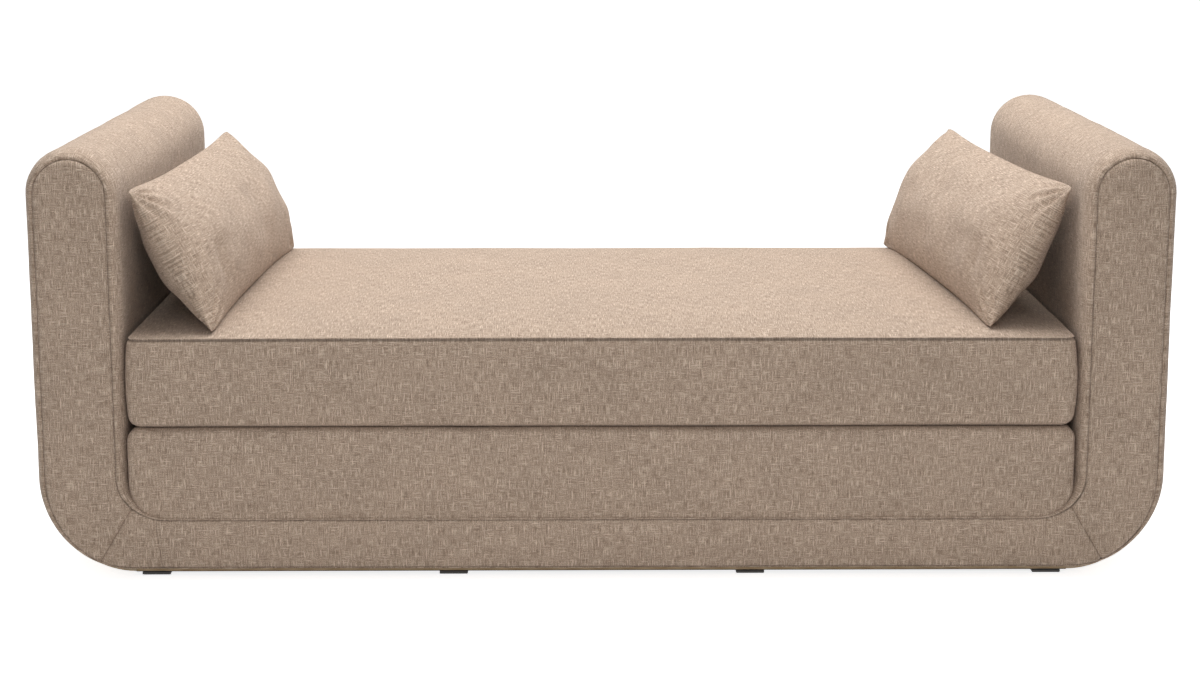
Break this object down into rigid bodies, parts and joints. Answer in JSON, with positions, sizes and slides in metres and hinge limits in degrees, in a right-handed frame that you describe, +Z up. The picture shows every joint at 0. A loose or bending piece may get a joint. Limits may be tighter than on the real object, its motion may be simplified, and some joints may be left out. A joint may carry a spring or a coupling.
{
  "type": "backless divan",
  "caption": "Backless divan: a U-shaped padded band makes arms and base round a sprung deck, with a loose crowned box cushion and long knife-edge pillows.",
  "frame": {"origin": "on the floor under the middle of the divan", "axes": "+X along the divan towards its right arm as seen from the front, +Y towards the back, +Z up"},
  "size_m": [1.98, 0.9, 0.765],
  "materials": {
    "linen_weave": "slubby plain-weave linen, matt",
    "foam": "open-cell foam, matt",
    "fibre": "soft fibre wadding, matt",
    "dust_cloth": "non-woven cloth, matt",
    "elastic_webbing": "woven elastic, matt",
    "zinc_steel": "zinc plated",
    "glide_plastic": "moulded, matt",
    "zip_tape": "herringbone tape, matt",
    "zip_chain": "nylon coil, satin",
    "zip_metal": "antique nickel",
    "plywood": "birch ply, sanded",
    "timber": "planed pine"
  },
  "bodies": {
    "frame": {"arm_cover_left": "linen_weave", "arm_cover_right": "linen_weave", "arm_foam_left": "foam", "arm_foam_right": "foam", "arm_inner_skin_left": "plywood", "arm_inner_skin_right": "plywood", "arm_outer_skin_left": "plywood", "arm_outer_skin_right": "plywood", "arm_ribs_left": "timber", "arm_ribs_right": "timber", "arm_top_rail_left": "timber", "arm_top_rail_right": "timber", "back_panel_base": "linen_weave", "back_panel_left": "linen_weave", "back_panel_right": "linen_weave", "base_bearers": "timber", "base_foam_back": "foam", "base_foam_front": "foam", "base_panel": "plywood", "base_rail_back": "timber", "base_rail_front": "timber", "base_rail_middle": "timber", "deck_corner_blocks": "timber", "deck_cover": "linen_weave", "deck_crossbar_left": "timber", "deck_crossbar_right": "timber", "deck_end_rail_left": "timber", "deck_end_rail_right": "timber", "deck_felt": "fibre", "deck_foam_border": "foam", "deck_foam_top": "foam", "deck_rail_back": "timber", "deck_rail_front": "timber", "deck_screws": "zinc_steel", "dust_cover": "dust_cloth", "front_panel_base": "linen_weave", "front_panel_left": "linen_weave", "front_panel_right": "linen_weave", "glides": "glide_plastic", "turned_in_cloth": "linen_weave", "turned_under_cloth": "linen_weave", "webbing_across": "elastic_webbing", "webbing_along": "elastic_webbing"},
    "seat_cushion": {"seat_top_panel": "linen_weave", "seat_bottom_panel": "linen_weave", "seat_boxing": "linen_weave", "seat_foam_core": "foam", "seat_wadding": "fibre", "seat_zip_tape": "zip_tape", "seat_zip_chain": "zip_chain"},
    "zip_slider": {"seat_zip_slider": "zip_metal"},
    "zip_pull": {"seat_zip_pull": "zip_metal"},
    "pillow_left": {"pillow_left_back": "linen_weave", "pillow_left_filling": "fibre", "pillow_left_front": "linen_weave"},
    "pillow_right": {"pillow_right_back": "linen_weave", "pillow_right_filling": "fibre", "pillow_right_front": "linen_weave"}
  },
  "joints": [
    {"name": "seat_cushion_lift", "type": "slide", "parent": "frame", "child": "seat_cushion", "axis": [0, 0, 1], "range_m": [0, 0.5]},
    {"name": "pillow_left_lift", "type": "slide", "parent": "seat_cushion", "child": "pillow_left", "axis": [0.4472, 0, 0.8944], "range_m": [0, 0.35]},
    {"name": "pillow_right_lift", "type": "slide", "parent": "seat_cushion", "child": "pillow_right", "axis": [-0.4472, 0, 0.8944], "range_m": [0, 0.35]},
    {"name": "zip_slide", "type": "slide", "parent": "seat_cushion", "child": "zip_slider", "axis": [1, 0, 0], "range_m": [-1.36, 0]},
    {"name": "zip_pull_hinge", "type": "hinge", "parent": "zip_slider", "child": "zip_pull", "pos_m": [0.682, 0.4471, 0.3513], "axis": [0, 0, 1], "range_deg": [0, 175]}
  ]
}
